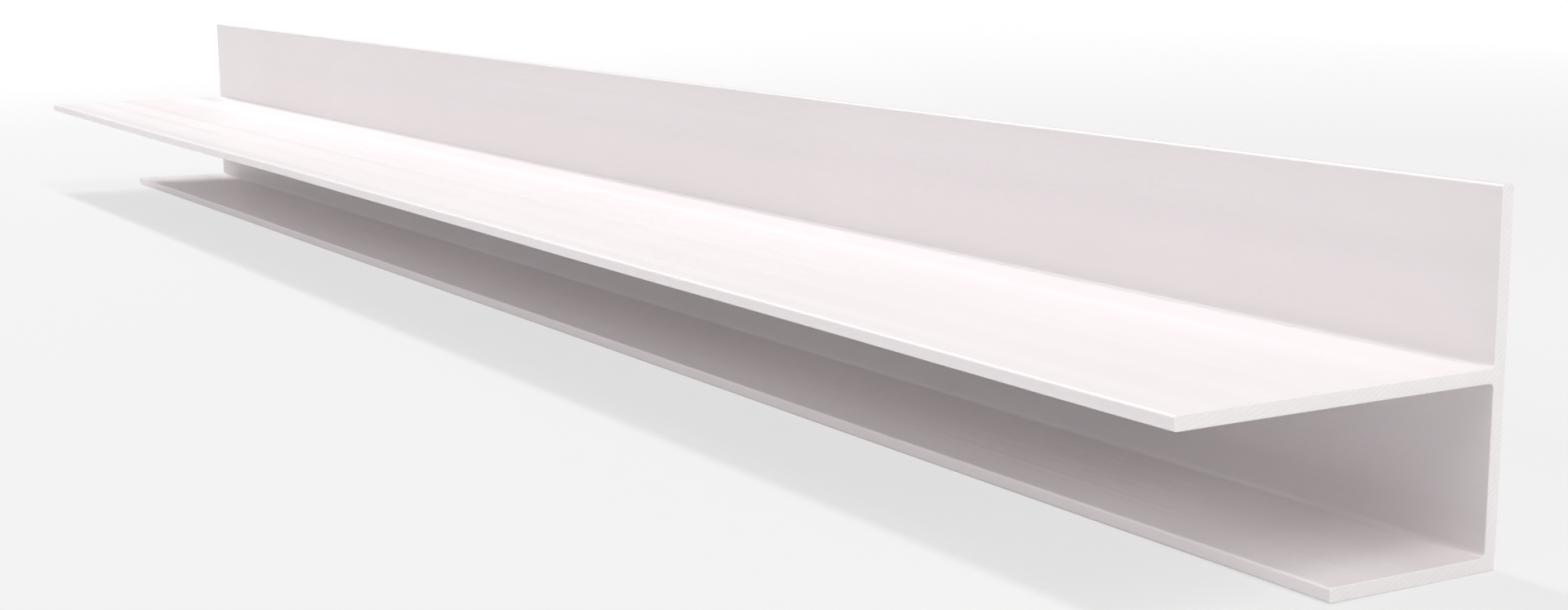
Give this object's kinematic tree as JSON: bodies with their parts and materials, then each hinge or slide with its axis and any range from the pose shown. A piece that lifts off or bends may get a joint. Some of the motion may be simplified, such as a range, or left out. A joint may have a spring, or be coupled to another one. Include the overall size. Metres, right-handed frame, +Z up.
{
  "type": "pvc f-trim",
  "caption": "Straight length of rigid white PVC trim, F-shaped in section: a flange to nail to a wall, with a long and a short leg that form a channel for a sheet's edge.",
  "frame": {"origin": "middle of the bounding box's base, on the plane that the underside of the bottom leg and the foot of the flange rest on", "axes": "+X along the length, +Y out of the flange's back face, +Z up the flange; both legs reach towards -Y"},
  "size_m": [0.46, 0.048, 0.044],
  "materials": {
    "white_pvc": "satin, smooth as extruded, with plain sawn ends"
  },
  "bodies": {
    "root": {"f_trim": "white_pvc"}
  },
  "joints": []
}
